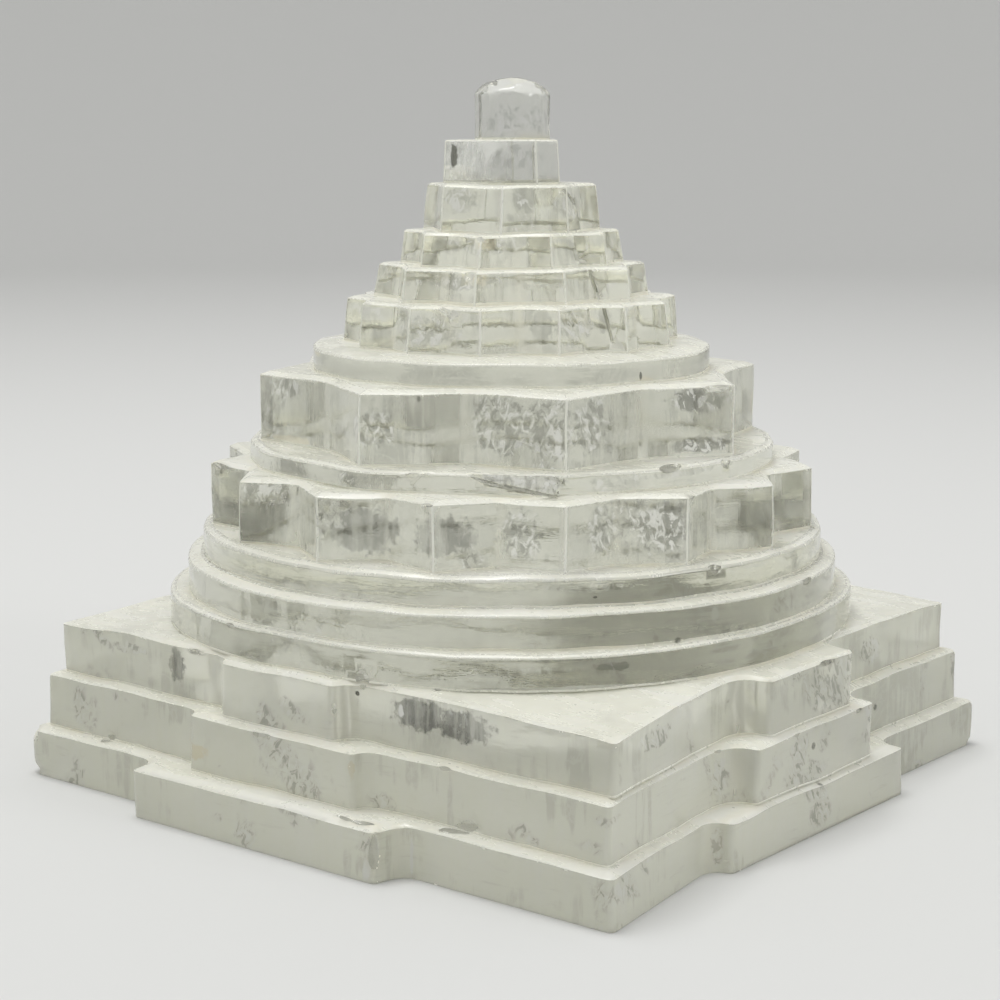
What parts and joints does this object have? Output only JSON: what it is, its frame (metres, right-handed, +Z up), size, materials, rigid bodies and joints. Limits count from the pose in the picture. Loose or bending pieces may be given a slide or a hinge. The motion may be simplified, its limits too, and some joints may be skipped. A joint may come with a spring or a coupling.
{
  "type": "shri yantra",
  "caption": "Stepped pyramid carved in clear rock crystal: square gated tiers, round rings, lotus and star tiers, a triangle and a small domed peak.",
  "frame": {"origin": "centre of the flat underside, on the vertical axis shared by every tier", "axes": "+Z up along the tiers' common axis to the domed peak; X and Y run along the sides of the square tiers; the longer corner points to +X -Y"},
  "size_m": [0.082, 0.0822, 0.0754],
  "materials": {
    "crystal_base": "clear quartz with faint veils, hand-polished faces and matt ledges",
    "crystal_rings": "clear quartz with faint veils, hand-polished faces and matt ledges",
    "crystal_crown": "clear quartz with small fractures, hand-polished faces and matt ledges"
  },
  "bodies": {
    "root": {"square_tier_lower": "crystal_base", "square_tier_middle": "crystal_base", "square_tier_upper": "crystal_base", "ring_lower": "crystal_rings", "ring_middle": "crystal_rings", "ring_upper": "crystal_rings", "sixteen_petal_lotus": "crystal_rings", "lotus_band": "crystal_rings", "eight_petal_lotus": "crystal_rings", "star_band": "crystal_rings", "fourteen_point_star": "crystal_crown", "outer_ten_point_star": "crystal_crown", "inner_ten_point_star": "crystal_crown", "eight_point_star": "crystal_crown", "triangle_tier": "crystal_crown", "bindu": "crystal_crown"}
  },
  "joints": []
}
